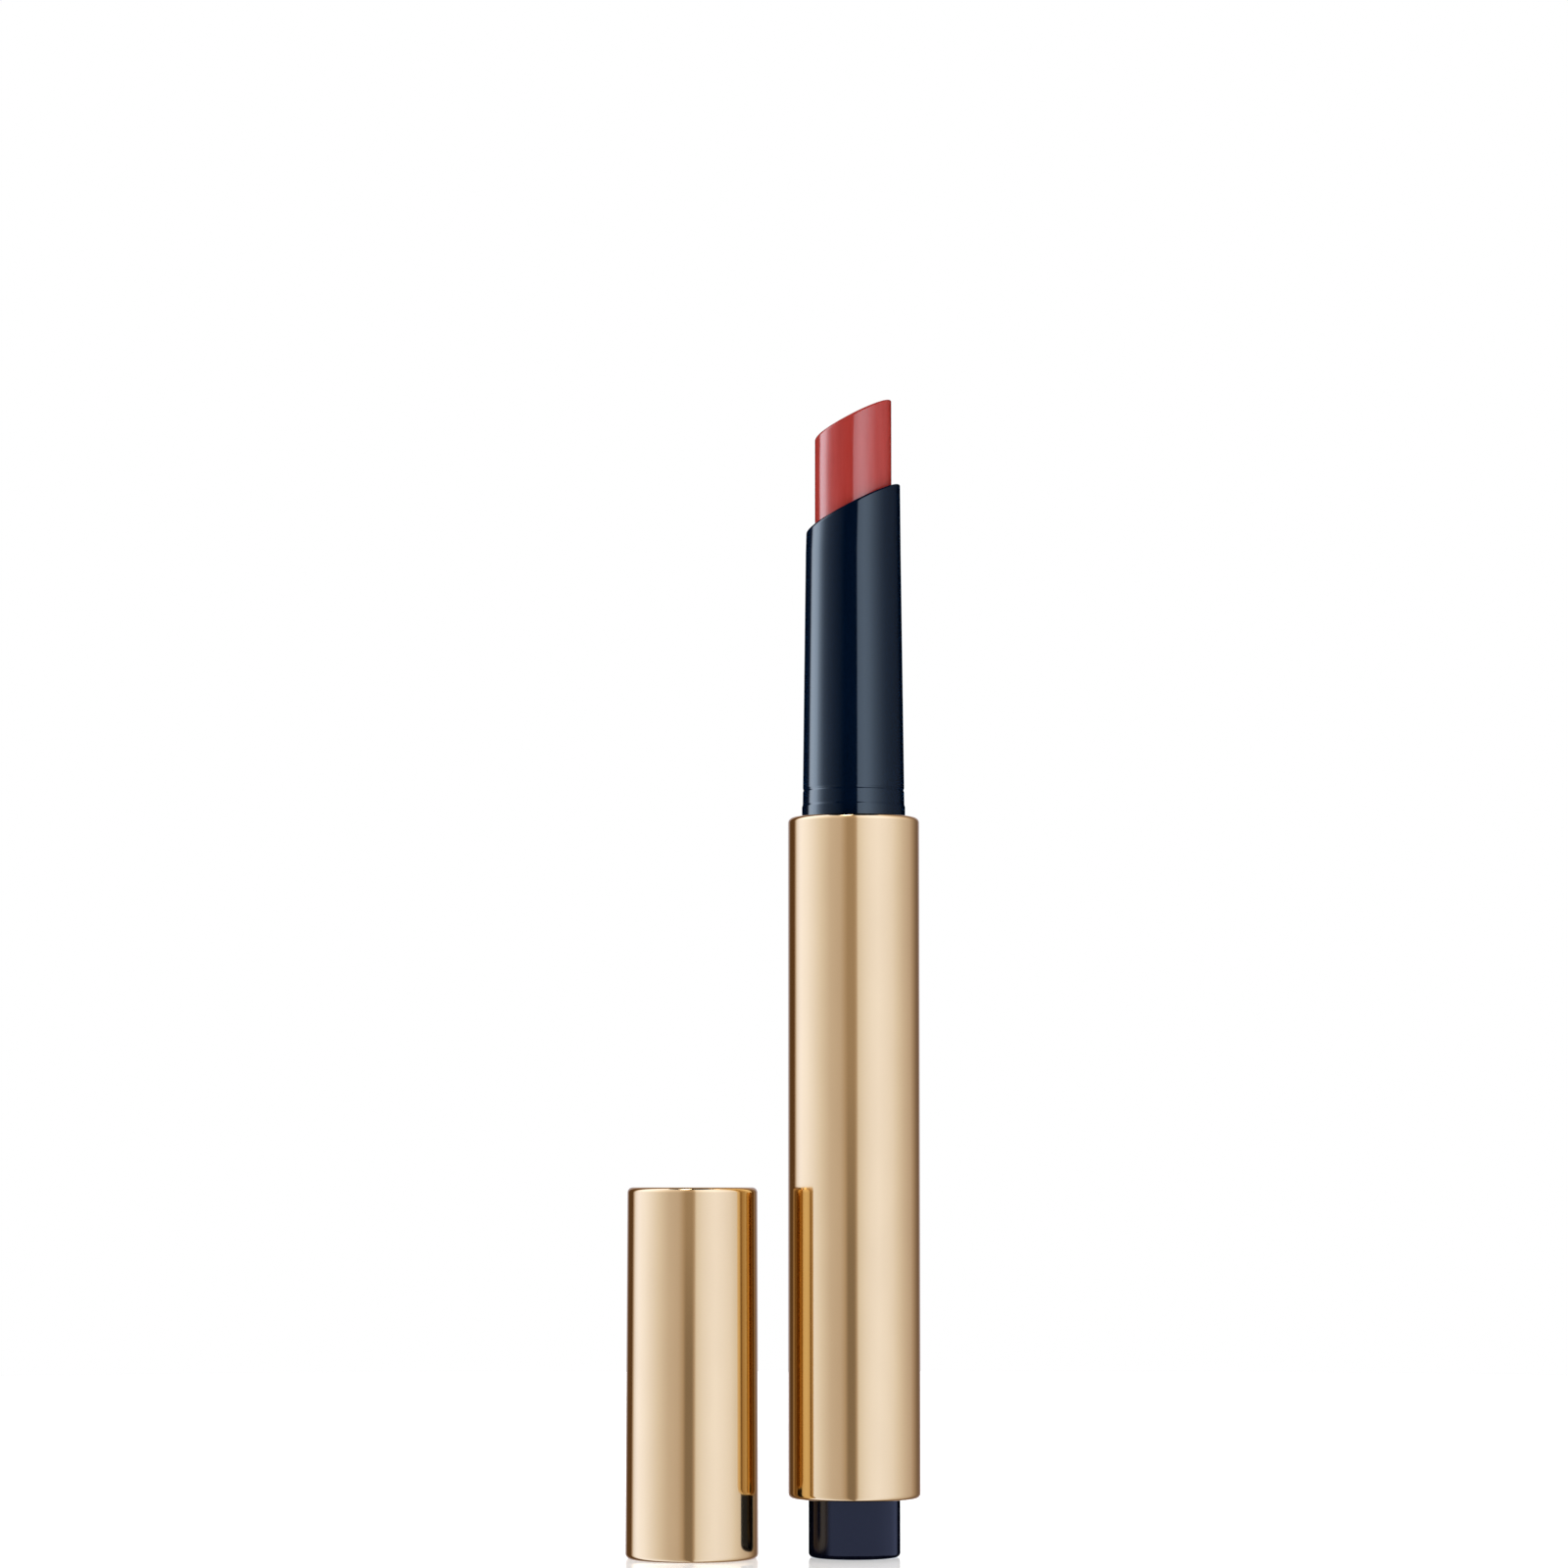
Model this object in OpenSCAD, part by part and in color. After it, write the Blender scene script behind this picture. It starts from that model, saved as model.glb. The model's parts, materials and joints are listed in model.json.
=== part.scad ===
// Click-up lipstick pen standing on its push button, with its cap beside it.
// Origin: centre of the button's foot. +Z runs up the pen, +X sideways, from the cap's side to the pen's.

/* [Barrel] */
// Outside diameter of the barrel and the cap
barrel_d = 14; // [13:0.1:16]
// Length of the barrel shell
barrel_len = 72.1; // [71:0.1:74]
// Wall of the drawn aluminium shells
shell_wall = 0.4; // [0.3:0.05:0.6]

/* [Button] */
// Diameter of the push button
button_d = 9.7; // [9:0.1:10]
// Length of button that stands out of the barrel
button_out = 6.2; // [5:0.1:8]
// Stroke of the button
press_travel = 2; // [1.5:0.1:2.2]

/* [Nozzle and bullet] */
// Diameter of the nozzle at its mouth
mouth_d = 10.12; // [9.9:0.02:10.4]
// Diameter of the nozzle just above its foot bead
nozzle_d = 10.9; // [10.6:0.02:11]
// Height of the mouth on the pen's axis, above the barrel's top edge
mouth_h = 33.55; // [32:0.05:34]
// Slope of the mouth and of the bullet's face, from level
cut_angle = 27; // [20:1:32]
// Diameter of the bullet
bullet_d = 8.26; // [8:0.02:8.4]
// Height of the bullet's face above the mouth, on the axis
bullet_out = 9.65; // [6:0.05:12]

/* [Cap] */
// Length of the cap
cap_len = 38.9; // [38.5:0.1:41]
// Diameter of the cap at its closed end, a little less than at its mouth
cap_top_d = 13.76; // [13.6:0.02:14]
// Distance from the pen's axis to the cap's axis, sideways
cap_gap = 17.1; // [15:0.1:30]
// Distance by which the cap stands in front of the pen
cap_ahead = 2; // [0:0.1:6]

/* [Click mechanism] */
// Clicks in one turn of the screw, and teeth on each crown
clicks = 10; // [8:1:12]
// Rise of the screw in one turn
lead = 5; // [4:0.5:6]
// Height of a ratchet tooth
tooth_h = 0.7; // [0.5:0.05:0.8]
// Radial gap of a part that runs in a bore
run = 0.08; // [0.05:0.01:0.1]

/* [Hidden] */
$fn = 72;

eps = 0.05;                 // gap between faces that touch on the real pen
part_gap = 0.1;             // gap at a stop

// Barrel and what is fixed in it
barrel_r = barrel_d / 2;
shell_r = barrel_r - shell_wall;
fixed_r = shell_r - eps;
edge_r = 0.55;
foot_turn = acos((edge_r - shell_wall) / edge_r);  // where the rolled foot meets the bore
foot_lift = edge_r * sin(foot_turn);
barrel_z0 = button_out;
barrel_z1 = barrel_z0 + barrel_len;
lip_t = 0.5;
collar_r = 5.53;
bead_h = 1.45;

// Push button, its bush and its plunger
button_r = button_d / 2;
button_round = 0.5;
button_wall = 0.9;
button_floor = 1.4;
bush_z0 = barrel_z0 + 0.3;
bush_z1 = bush_z0 + 3.9;
button_top = bush_z1 - part_gap;
flange_z0 = bush_z1 + part_gap;
flange_h = 1.2;
flange_r = 5.3;
stem_r = 3.7;

// Mechanism housing and the two crowns
housing_z1 = bush_z1 + 22.8;
housing_bore_r = 5.5;
seat_r = housing_bore_r - 0.02;
crown_r = 4;
tooth_r0 = 4.15;
tooth_r1 = 5.1;
tooth_w = 2.35;
tooth_lean = 0.3;           // tip's distance from the tooth's middle, as a share of its width
mesh_turn = 8.3;            // turn of a down tooth against an up tooth when they mesh
lower_base = bush_z1 + 5;
lower_root = lower_base + 1.9;
rotor_tip = lower_root + tooth_h + eps;
rotor_z0 = rotor_tip + tooth_h;
rotor_h = 1.75;
rotor_z1 = rotor_z0 + rotor_h;
rotor_r = 5.2;
upper_root = rotor_z1 + tooth_h + press_travel + eps;
upper_h = 1.75;
stem_top = rotor_z0 - eps;
stem_bore_r = 2.6;
stem_bore_h = press_travel + 1.2;

// Spring
washer_h = 0.25;
washer_z0 = rotor_z1 + eps;
wire_r = 0.3;
spring_r = 3.3;
spring_turns = 5;
spring_z0 = washer_z0 + washer_h + wire_r + 0.02;
spring_z1 = spring_z0 + 6.5;
wire_sides = 8;
rings_per_turn = 20;

// Screw and its bearings
plate_z0 = spring_z1 + wire_r + eps;
plate_h = 1.8;
thrust_z0 = plate_z0 + plate_h;
thrust_h = 0.4;
journal_r = 2;
neck_r = 1.25;              // between the flange and the thread
key_w = 3;
key_corner_r = 1.95;
key_z0 = rotor_tip + 0.15;
key_z1 = plate_z0 - 2.2;
screw_flange_z0 = thrust_z0 + thrust_h + part_gap;
screw_flange_h = 1;
screw_flange_r = 3.7;
retainer_z0 = screw_flange_z0 + screw_flange_h + part_gap;
retainer_h = 1.3;
thread_z0 = retainer_z0 + retainer_h + 0.6;
thread_len = 37.5;
thread_r = 2;
groove_r = 1.35;
groove_w = 1.5;             // along the axis, at the thread's outside
groove_floor = 1.1;         // along the axis, at the groove's floor
slices_per_turn = 18;

// Carrier: nut, tube, cup and bullet
liner_z0 = housing_z1 + part_gap;
liner_bore_r = 4.8;
nozzle_z0 = barrel_z1 - 6.6;
key_count = 3;
keyway_r = 5.5;
keyway_w = 1.6;
nut_z0 = barrel_z1 - 34.2;
nut_h = 7;
nut_r = 4.65;
nut_key_r = 5.35;
nut_key_w = 1.4;
nut_bore_r = thread_r + 0.15;
socket_h = 1.5;
lug_r = 0.45;
lug_tip_r = groove_r + 0.2;
lug_z = nut_z0 + 1.5;
tube_r = 3.2;
tube_bore_r = 2.4;
tube_z0 = nut_z0 + nut_h - socket_h;
cup_floor_z = barrel_z1 + 4.2;
cup_floor_h = 1;
cup_depth = 5;
cup_r = 4.5;
boss_h = 2.5;
boss_r = 4.3;
nozzle_bore_r = 4.6;
bullet_r = bullet_d / 2;
bullet_z0 = cup_floor_z + cup_floor_h + eps;
mouth_z = barrel_z1 + mouth_h;
bullet_z = mouth_z + bullet_out;

// Cap
cap_top_r = cap_top_d / 2;
cap_top_t = 0.5;
liner_lift = 0.25;
cap_bore_r = 5.7;
snap_r = 5.46;
snap_z = 2.95;
snap_h = 0.9;

gold = [0.83, 0.70, 0.53];
navy = [0.06, 0.09, 0.15];
rose = [0.66, 0.27, 0.28];
ivory = [0.90, 0.89, 0.85];
steel = [0.72, 0.73, 0.75];

// ---------------------------------------------------------------- shared shapes

function arc(cx, cy, r, a0, a1, n = 5) =
    [for (i = [0:n]) let (a = a0 + (a1 - a0) * i / n) [cx + r * cos(a), cy + r * sin(a)]];

module tube(z0, z1, r_out, r_in) {
    translate([0, 0, z0])
        difference() {
            cylinder(h = z1 - z0, r = r_out);
            translate([0, 0, -1]) cylinder(h = z1 - z0 + 2, r = r_in);
        }
}

// A shell of revolution that keeps what lies under a face sloping up towards +X
module under_slope(z_axis) {
    difference() {
        children();
        translate([0, 0, z_axis]) rotate([0, -cut_angle, 0]) translate([-20, -20, 0]) cube([40, 40, 30]);
    }
}

// Ring of ratchet teeth standing on z, pointing up (way = 1) or down (way = -1)
module teeth(z, way, turn, r1 = tooth_r1) {
    tip = way * tooth_lean * tooth_w;
    for (i = [0:clicks - 1])
        rotate([0, 0, turn + i * 360 / clicks])
            translate([tooth_r0, 0, z])
                rotate([90, 0, 90])
                    linear_extrude(r1 - tooth_r0)
                        polygon([
                            [-tooth_w / 2, -way * 0.1], [-tooth_w / 2, 0], [tip, way * tooth_h],
                            [tooth_w / 2, 0], [tooth_w / 2, -way * 0.1]
                        ]);
}

// Square shank with rounded corners, and the hole that it slides in
module key_section(gap = 0) {
    intersection() {
        circle(r = key_corner_r + gap);
        square(key_w + 2 * gap, center = true);
    }
}

// ---------------------------------------------------------------- barrel

module barrel_shell() {
    color(gold)
        rotate_extrude()
            polygon(concat(
                arc(barrel_r - edge_r, barrel_z0 + foot_lift, edge_r, -foot_turn, 0),
                arc(barrel_r - edge_r, barrel_z1 - edge_r, edge_r, 0, 90),
                [[collar_r + eps, barrel_z1], [collar_r + eps, barrel_z1 - lip_t],
                 [shell_r, barrel_z1 - lip_t]]
            ));
}

module barrel_liner() {
    liner_z1 = nozzle_z0 - part_gap;
    color(ivory)
        difference() {
            tube(liner_z0, liner_z1, fixed_r, liner_bore_r);
            for (i = [0:key_count - 1])
                rotate([0, 0, i * 360 / key_count])
                    translate([0, -keyway_w / 2, liner_z0 - 1])
                        cube([keyway_r, keyway_w, liner_z1 - liner_z0 + 2]);
        }
}

module nozzle() {
    lip_z = barrel_z1 - lip_t - eps;
    bead_z = barrel_z1 + bead_h;
    top_z = mouth_z + 3;
    ring_z = barrel_z1 + snap_z;
    slope = (nozzle_d - mouth_d) / 2 / (mouth_h - bead_h);
    top_r = nozzle_d / 2 - slope * (top_z - bead_z);
    ring_r = nozzle_d / 2 - slope * (ring_z - bead_z);
    color(navy)
        under_slope(mouth_z)
            rotate_extrude()
                polygon([
                    [nozzle_bore_r, nozzle_z0], [fixed_r, nozzle_z0], [fixed_r, lip_z],
                    [collar_r, lip_z], [collar_r, bead_z], [nozzle_d / 2, bead_z],
                    [ring_r, ring_z - 0.2], [ring_r - 0.06, ring_z], [ring_r, ring_z + 0.2],
                    [top_r, top_z], [nozzle_bore_r, top_z]
                ]);
}

module mechanism_housing() {
    color(ivory) tube(bush_z1, housing_z1, fixed_r, housing_bore_r);
}

module end_bush() {
    color(navy) tube(bush_z0, bush_z1, fixed_r, button_r + run);
}

// ---------------------------------------------------------------- click mechanism

module lower_cam_ring() {
    color(ivory) {
        tube(lower_base, lower_root, seat_r, crown_r);
        teeth(lower_root, 1, 180 / clicks - mesh_turn);
    }
}

module upper_cam_ring() {
    color(ivory) {
        tube(upper_root, upper_root + upper_h, seat_r, crown_r);
        teeth(upper_root, -1, -mesh_turn);
    }
}

module ratchet_rotor() {
    color("darkorange")
        difference() {
            union() {
                translate([0, 0, rotor_z0]) cylinder(h = rotor_h, r = rotor_r);
                teeth(rotor_z0, -1, 0, tooth_r1 - eps);
                teeth(rotor_z1, 1, 0, tooth_r1 - eps);
            }
            translate([0, 0, rotor_z0 - 1]) linear_extrude(rotor_h + 2) key_section(run);
        }
}

module bearing_plate() {
    color(ivory) tube(plate_z0, thrust_z0, seat_r, journal_r + run);
}

module thrust_washer() {
    color(steel) tube(thrust_z0, thrust_z0 + thrust_h, screw_flange_r, journal_r + 0.3);
}

module screw_retainer() {
    color(ivory) tube(retainer_z0, retainer_z0 + retainer_h, seat_r, screw_flange_r - 0.8);
}

// Section of the screw: a round rod with one notch, as wide as the groove is at each radius
function groove_half(w) = 180 * w / lead;
function screw_section() = concat(
    [for (a = [groove_half(groove_w):(360 - 2 * groove_half(groove_w)) / 12:
              360 - groove_half(groove_w) + 0.01]) thread_r * [cos(a), sin(a)]],
    [for (a = [-1:0.5:1]) groove_r * [cos(a * groove_half(groove_floor)),
                                      sin(a * groove_half(groove_floor))]]
);

module drive_screw() {
    turns = thread_len / lead;
    // the notch lies at angle 0 where the nut's first lug is
    start = -360 * (lug_z - thread_z0) / lead;
    color(steel) {
        translate([0, 0, key_z0]) linear_extrude(key_z1 - key_z0) key_section();
        translate([0, 0, key_z1]) cylinder(h = screw_flange_z0 - key_z1, r = journal_r);
        translate([0, 0, screw_flange_z0]) cylinder(h = screw_flange_h, r = screw_flange_r);
        translate([0, 0, screw_flange_z0 + screw_flange_h])
            cylinder(h = thread_z0 - screw_flange_z0 - screw_flange_h, r = neck_r);
        translate([0, 0, thread_z0])
            rotate([0, 0, start])
                linear_extrude(thread_len, twist = -360 * turns, slices = turns * slices_per_turn,
                               $fn = 12)
                    polygon(screw_section());
    }
}

// ---------------------------------------------------------------- button and spring

module push_button() {
    color(navy)
        difference() {
            rotate_extrude()
                polygon(concat(
                    [[0, 0]],
                    arc(button_r - button_round, button_round, button_round, -90, 0, 6),
                    [[button_r, button_top], [0, button_top]]
                ));
            translate([0, 0, button_floor]) cylinder(h = button_top, r = button_r - button_wall);
        }
}

module button_plunger() {
    color(ivory)
        difference() {
            union() {
                translate([0, 0, button_floor + eps])
                    cylinder(h = flange_z0 - button_floor - eps, r = button_r - button_wall - eps);
                translate([0, 0, flange_z0]) cylinder(h = flange_h, r = flange_r);
                translate([0, 0, flange_z0]) cylinder(h = stem_top - flange_z0, r = stem_r);
            }
            translate([0, 0, stem_top - stem_bore_h]) cylinder(h = stem_bore_h + 1, r = stem_bore_r);
        }
}

module spring_washer() {
    color(steel) tube(washer_z0, washer_z0 + washer_h, crown_r - 0.15, journal_r + 0.3);
}

// Height of the wire's middle: the end turns lie flat, and the others share the rise
function spring_height(t) =
    t < 1 ? 2 * wire_r * t :
    t > spring_turns - 1 ? spring_z1 - spring_z0 - 2 * wire_r * (spring_turns - t) :
    2 * wire_r + (spring_z1 - spring_z0 - 4 * wire_r) * (t - 1) / (spring_turns - 2);

module return_spring() {
    rings = spring_turns * rings_per_turn;
    points = [for (i = [0:rings], k = [0:wire_sides - 1])
        let (t = i / rings_per_turn, a = 360 * t, b = 360 * k / wire_sides,
             r = spring_r + wire_r * cos(b))
        [r * cos(a), r * sin(a), spring_z0 + spring_height(t) + wire_r * sin(b)]];
    sides = [for (i = [0:rings - 1], k = [0:wire_sides - 1])
        let (n = (k + 1) % wire_sides, p = i * wire_sides, q = p + wire_sides)
        [p + k, p + n, q + n, q + k]];
    ends = [[for (k = [wire_sides - 1:-1:0]) k], [for (k = [0:wire_sides - 1]) rings * wire_sides + k]];
    color(steel) polyhedron(points, concat(sides, ends));
}

// ---------------------------------------------------------------- carrier

module carrier_nut() {
    color("tomato")
        difference() {
            union() {
                translate([0, 0, nut_z0]) cylinder(h = nut_h, r = nut_r);
                for (i = [0:key_count - 1])
                    rotate([0, 0, i * 360 / key_count])
                        translate([0, -nut_key_w / 2, nut_z0]) cube([nut_key_r, nut_key_w, nut_h]);
            }
            difference() {
                translate([0, 0, nut_z0 - 1]) cylinder(h = nut_h + 2, r = nut_bore_r);
                for (i = [0, 1])
                    rotate([0, 90, 180 * i])
                        translate([-lug_z - i * lead / 2, 0, lug_tip_r]) cylinder(h = 1.2, r = lug_r);
            }
            translate([0, 0, tube_z0]) cylinder(h = socket_h + 1, r = tube_r + 0.02);
        }
}

module push_tube() {
    color(ivory) tube(tube_z0, cup_floor_z - 0.02, tube_r, tube_bore_r);
}

module bullet_cup() {
    color(ivory)
        difference() {
            union() {
                translate([0, 0, cup_floor_z - boss_h]) cylinder(h = boss_h, r = boss_r);
                translate([0, 0, cup_floor_z]) cylinder(h = cup_floor_h + cup_depth, r = cup_r);
            }
            translate([0, 0, cup_floor_z - boss_h - 1]) cylinder(h = boss_h + 1, r = tube_r + 0.02);
            translate([0, 0, cup_floor_z + cup_floor_h]) cylinder(h = cup_depth + 1, r = bullet_r + 0.02);
        }
}

module bullet() {
    color(rose)
        under_slope(bullet_z)
            translate([0, 0, bullet_z0]) cylinder(h = bullet_z - bullet_z0 + 5, r = bullet_r);
}

// ---------------------------------------------------------------- cap

module cap_shell() {
    color(gold)
        translate([-cap_gap, -cap_ahead, 0])
            rotate_extrude()
                polygon(concat(
                    arc(barrel_r - edge_r, foot_lift, edge_r, -foot_turn, 0),
                    arc(cap_top_r - edge_r, cap_len - edge_r, edge_r, 0, 90),
                    [[0, cap_len], [0, cap_len - cap_top_t],
                     [cap_top_r - shell_wall, cap_len - cap_top_t]]
                ));
}

module cap_liner() {
    top = cap_len - cap_top_t - eps;
    color(ivory)
        translate([-cap_gap, -cap_ahead, 0])
            rotate_extrude()
                polygon([
                    [fixed_r, liner_lift], [cap_top_r - shell_wall - eps, top], [0, top], [0, top - 1.1],
                    [cap_bore_r, top - 1.1], [cap_bore_r, snap_z + snap_h / 2], [snap_r, snap_z],
                    [cap_bore_r, snap_z - snap_h / 2], [cap_bore_r, liner_lift + 0.4],
                    [cap_bore_r + 0.3, liner_lift]
                ]);
}

barrel_shell();
barrel_liner();
nozzle();
mechanism_housing();
end_bush();
lower_cam_ring();
upper_cam_ring();
bearing_plate();
thrust_washer();
screw_retainer();
push_button();
button_plunger();
spring_washer();
return_spring();
ratchet_rotor();
drive_screw();
carrier_nut();
push_tube();
bullet_cup();
bullet();
cap_shell();
cap_liner();
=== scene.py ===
# %% [markdown]
# # A click-up lipstick and its cap
# A slim lipstick pen stands on its push button. It is a gold-coloured aluminium tube with a dark
# plastic nozzle at the top, and the stick of lipstick leans out of the nozzle's slanted mouth.
# The cap stands beside it. The working parts come from the CAD model and are already in place,
# so this lesson makes the outside: smooth shells, real finishes, and a small studio.
#
# The CAD model is loaded first. Each piece's place and outside size are read from it, so that the
# pieces fit it exactly.

import json
import math

import bmesh
import bpy
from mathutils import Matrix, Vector


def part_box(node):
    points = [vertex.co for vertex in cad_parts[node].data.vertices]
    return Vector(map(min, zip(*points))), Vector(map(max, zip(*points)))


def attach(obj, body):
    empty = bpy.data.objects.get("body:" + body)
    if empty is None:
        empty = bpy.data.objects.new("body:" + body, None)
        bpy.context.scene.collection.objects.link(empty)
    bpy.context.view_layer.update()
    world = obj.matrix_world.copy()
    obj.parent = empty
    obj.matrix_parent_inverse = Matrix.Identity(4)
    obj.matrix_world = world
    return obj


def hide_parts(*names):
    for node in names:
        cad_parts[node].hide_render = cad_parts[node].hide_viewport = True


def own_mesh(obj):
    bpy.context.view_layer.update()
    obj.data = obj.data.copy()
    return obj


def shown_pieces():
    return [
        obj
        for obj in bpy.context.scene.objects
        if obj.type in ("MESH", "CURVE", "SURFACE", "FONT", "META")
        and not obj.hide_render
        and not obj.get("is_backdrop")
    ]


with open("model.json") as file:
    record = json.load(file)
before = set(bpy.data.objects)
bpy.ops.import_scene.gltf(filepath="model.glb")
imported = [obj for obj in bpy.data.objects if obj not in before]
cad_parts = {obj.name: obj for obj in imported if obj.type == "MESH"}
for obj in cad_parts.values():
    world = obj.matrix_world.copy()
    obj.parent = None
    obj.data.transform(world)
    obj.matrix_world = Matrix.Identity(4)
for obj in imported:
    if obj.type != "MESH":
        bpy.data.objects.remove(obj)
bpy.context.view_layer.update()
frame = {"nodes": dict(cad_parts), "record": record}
MM = 0.001
print("CAD nodes:", len(frame["nodes"]))

# %% [markdown]
# The camera stands low, level with the top of the cap, about half a metre away, and looks up a
# little at the middle of the pen. A long lens at that distance keeps the tubes' sides almost
# parallel, which is how small cosmetics are usually pictured. Its turn is about 2 degrees and its
# tilt about 5, written in radians.

# %% Place the camera
CAMERA_PLACE = (10 * MM, -500 * MM, 38.9 * MM)
CAMERA_TURN = 0.0349
CAMERA_TILT = 0.0859
LENS_MM = 107.55
SENSOR_MM = 36
camera_data = bpy.data.cameras.new("camera")
camera_data.lens = LENS_MM
camera_data.sensor_width = SENSOR_MM
camera_data.clip_start = 0.02
camera_data.clip_end = 20
camera = bpy.data.objects.new("camera", camera_data)
camera.location = CAMERA_PLACE
camera.rotation_euler = (math.pi / 2 + CAMERA_TILT, 0, CAMERA_TURN)
bpy.context.scene.collection.objects.link(camera)
bpy.context.scene.camera = camera
print("camera is", round(Vector(CAMERA_PLACE).length, 3), "m from the pen's foot")

# %% [markdown]
# Colours are written as sRGB hex values, the way a colour picker shows them. Blender's nodes work
# in linear light, so one function turns them over.

# %% Colours
def linear(hex_colour):
    """The linear RGBA of an sRGB hex colour."""
    parts = [int(hex_colour[i:i + 2], 16) / 255 for i in (1, 3, 5)]
    return tuple(c / 12.92 if c <= 0.04045 else ((c + 0.055) / 1.055) ** 2.4 for c in parts) + (1.0,)


print("champagne gold in linear light:", [round(c, 3) for c in linear("#DDBB7B")[:3]])

# %% [markdown]
# A material is a tree of nodes. It could be wired up node by node, but that takes four lines a
# node. One small function adds a node, sets what it is given and links its inputs, which keeps
# every material short enough to read as a list.

# %% Nodes
def connect(tree, node, inputs):
    """Gives inputs their values, or links them to a socket or to another node's first output."""
    for name, value in inputs.items():
        if isinstance(value, bpy.types.Node):
            value = value.outputs[0]
        if isinstance(value, bpy.types.NodeSocket):
            tree.links.new(value, node.inputs[name])
        else:
            node.inputs[name].default_value = value


def add(tree, kind, inputs=None, stops=(), **settings):
    """Adds one node, with its settings and inputs. Stops are a colour ramp's (place, value)."""
    node = tree.nodes.new(kind)
    for name, value in settings.items():
        setattr(node, name, value)
    connect(tree, node, inputs or {})
    if stops:
        for _ in stops[2:]:
            node.color_ramp.elements.new(0.5)
        for element, (place, value) in zip(node.color_ramp.elements, stops):
            element.position = place
            element.color = linear(value) if isinstance(value, str) else (value, value, value, 1)
    return node


def new_finish(name, **surface):
    """An empty material with a Principled surface. Returns the material, its tree and the surface."""
    material = bpy.data.materials.new(name)
    material.use_nodes = True
    tree = material.node_tree
    shader = tree.nodes["Principled BSDF"]
    connect(tree, shader, {key.replace("_", " "): value for key, value in surface.items()})
    return material, tree, shader


print("helpers:", connect.__name__, add.__name__, new_finish.__name__)

# %% [markdown]
# No real surface is even. Each finish below lets its colour, roughness or height follow a random
# pattern whose marks have a size in millimetres. It could be painted as an image, but a computed
# pattern stays sharp at any distance, needs no seams, and fits every piece by itself.

# %% A random pattern of a known size
def grain(tree, across, along, detail=2.0):
    """A random pattern whose marks are that wide and, up the pieces, that long, in metres."""
    place = add(tree, "ShaderNodeTexCoord").outputs["Object"]
    scale = (1 / across, 1 / across, 1 / along)
    marks = add(tree, "ShaderNodeMapping", {"Vector": place, "Scale": scale})
    return add(tree, "ShaderNodeTexNoise", {"Vector": marks, "Scale": 1.0, "Detail": detail})


print("patterns come from", grain.__name__)

# %% [markdown]
# **Anodised aluminium.** The barrel and the cap are thin cups, drawn from sheet, brushed bright,
# and then anodised and dyed a champagne gold. The eye sees a metal that mirrors its surroundings
# a little blurred. Drawing leaves very fine lines along the tube, so the roughness and a shallow
# bump follow a pattern that is stretched along the tube. The real lines are about 0.02 mm apart;
# they are drawn 0.12 mm wide here, so that they can show at all. The dye takes unevenly, which
# gives faint clouds of tint a few millimetres wide. Where one gold piece mirrors the other, the
# light has met the dye twice, and looks orange.

# %% Anodised aluminium
gold_finish, tree, shader = new_finish("anodised_aluminium", Metallic=1.0)
lines = grain(tree, across=0.12 * MM, along=14 * MM)
clouds = grain(tree, across=3 * MM, along=9 * MM)
connect(tree, shader, {
    "Base Color": add(tree, "ShaderNodeValToRGB", {"Fac": clouds}, [(0.3, "#DDBB7B"), (0.7, "#E0BE7D")]),
    "Roughness": add(tree, "ShaderNodeValToRGB", {"Fac": lines}, [(0.25, 0.07), (0.75, 0.1)]),
    "Normal": add(tree, "ShaderNodeBump", {"Height": lines, "Distance": 0.001 * MM, "Strength": 0.05}),
})
print("finish:", gold_finish.name)

# %% [markdown]
# **Moulded ABS, polished.** The nozzle is midnight-blue ABS from a polished mould. It is glossy,
# so it mirrors the studio sharply but faintly, as every plastic does. Its surface is not dead
# flat: a wave about a micrometre deep, the orange peel, softens long reflections. Fine scuffs
# make the gloss a little uneven.

# %% Glossy moulded ABS
gloss_finish, tree, shader = new_finish("moulded_abs_gloss", IOR=1.6)
peel = grain(tree, across=2.5 * MM, along=12 * MM)
scuffs = grain(tree, across=0.3 * MM, along=0.9 * MM, detail=4.0)
connect(tree, shader, {
    "Base Color": add(tree, "ShaderNodeValToRGB", {"Fac": peel}, [(0.3, "#031022"), (0.7, "#041226")]),
    "Roughness": add(tree, "ShaderNodeValToRGB", {"Fac": scuffs}, [(0.4, 0.07), (0.8, 0.12)]),
    "Normal": add(tree, "ShaderNodeBump", {"Height": peel, "Distance": 0.001 * MM, "Strength": 0.2}),
    "Specular Tint": (0.75, 0.88, 1.0, 1),
})
print("finish:", gloss_finish.name)

# %% [markdown]
# **Moulded ABS, satin.** The push button is the same blue ABS, but its mould was spark-eroded to
# a fine satin, so that a finger doesn't slip. Reflections in it are soft and faint. The grain is
# about 0.05 mm; it is drawn 0.16 mm wide to show.

# %% Satin moulded ABS
satin_finish, tree, shader = new_finish("moulded_abs_satin", IOR=1.5)
spark = grain(tree, across=0.16 * MM, along=0.16 * MM, detail=3.0)
connect(tree, shader, {
    "Base Color": add(tree, "ShaderNodeValToRGB", {"Fac": spark}, [(0.3, "#070A16"), (0.7, "#090C1A")]),
    "Roughness": add(tree, "ShaderNodeValToRGB", {"Fac": spark}, [(0.3, 0.14), (0.7, 0.17)]),
    "Normal": add(tree, "ShaderNodeBump", {"Height": spark, "Distance": 0.002 * MM, "Strength": 0.2}),
})
print("finish:", satin_finish.name)

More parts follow.
